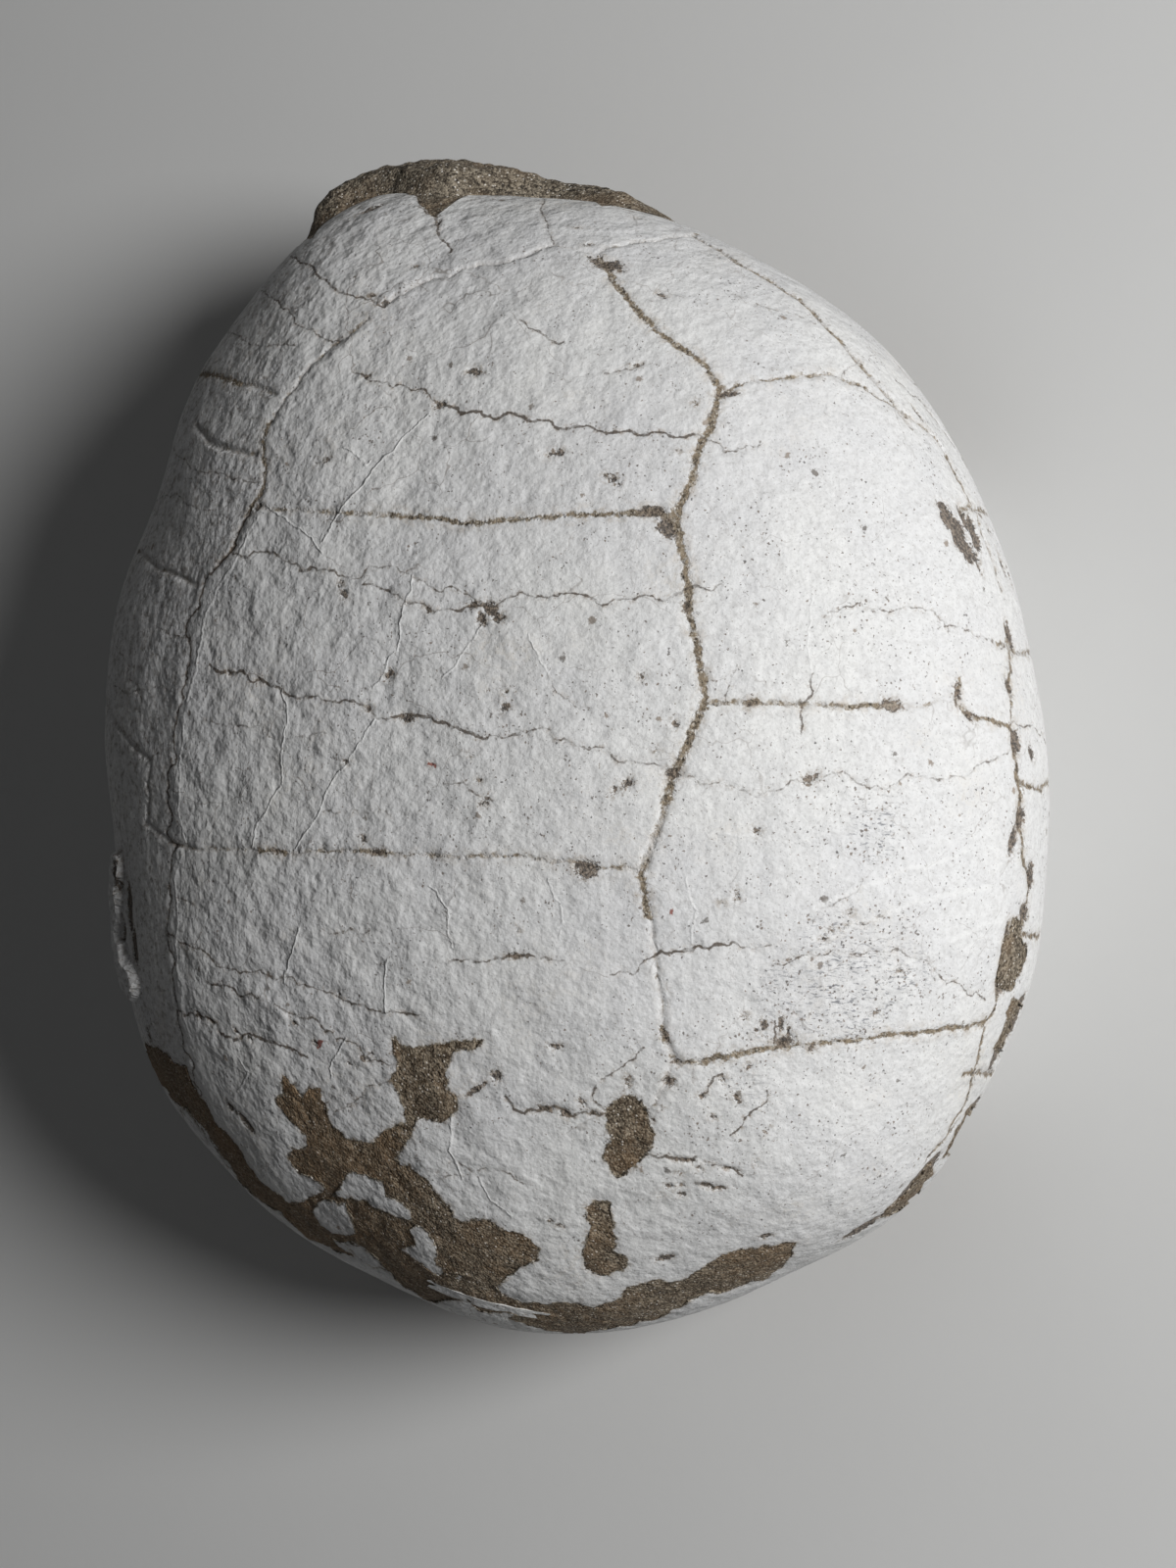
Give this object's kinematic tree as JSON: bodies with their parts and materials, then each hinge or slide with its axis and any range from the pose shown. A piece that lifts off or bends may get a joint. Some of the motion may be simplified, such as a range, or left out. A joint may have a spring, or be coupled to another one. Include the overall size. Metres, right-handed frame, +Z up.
{
  "type": "fossil turtle shell",
  "caption": "Domed fossil tortoise shell, whole bony case filled with brown sandstone that shows where its tail edge and flakes of bone are gone; a specimen to rest on a shelf or plinth",
  "frame": {"origin": "middle of the plan, on the surface that the fossil rests on", "axes": "+Z up through the dome, +Y from the head end towards the tail end, +X towards the animal's left flank"},
  "size_m": [0.1946, 0.2264, 0.103],
  "materials": {
    "bone": "chalky off-white fossil bone with a fine grain, hairline cracks, and brown stone in its grooves",
    "sandstone": "rough, gritty brown sandstone with pale and dark grains"
  },
  "bodies": {
    "root": {"shell": "bone", "matrix": "sandstone"}
  },
  "joints": []
}
